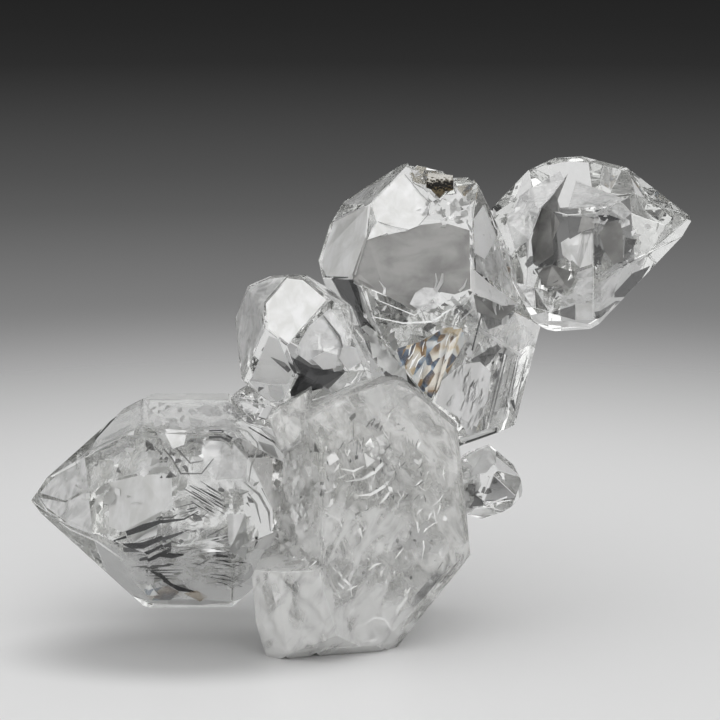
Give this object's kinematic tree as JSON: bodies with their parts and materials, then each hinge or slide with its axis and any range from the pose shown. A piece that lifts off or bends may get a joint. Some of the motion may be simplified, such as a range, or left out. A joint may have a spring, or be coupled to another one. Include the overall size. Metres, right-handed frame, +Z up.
{
  "type": "herkimer diamond crystal cluster",
  "caption": "Cluster of clear doubly terminated quartz crystals grown together, standing on the broken foot of a milky crystal, with a dark mineral grain.",
  "frame": {"origin": "on the ground under the middle of the bounding box", "axes": "+Z up, +Y towards the back of the cluster, +X to the right as seen from the front"},
  "size_m": [0.0846, 0.0454, 0.0581],
  "materials": {
    "clear_quartz": "natural growth faces, glassy, with internal fractures and milky veils",
    "dark_grain": "dark brown to black mineral residue, dull"
  },
  "bodies": {
    "root": {"crystal_cluster": "clear_quartz", "dark_mineral_grain": "dark_grain"}
  },
  "joints": []
}
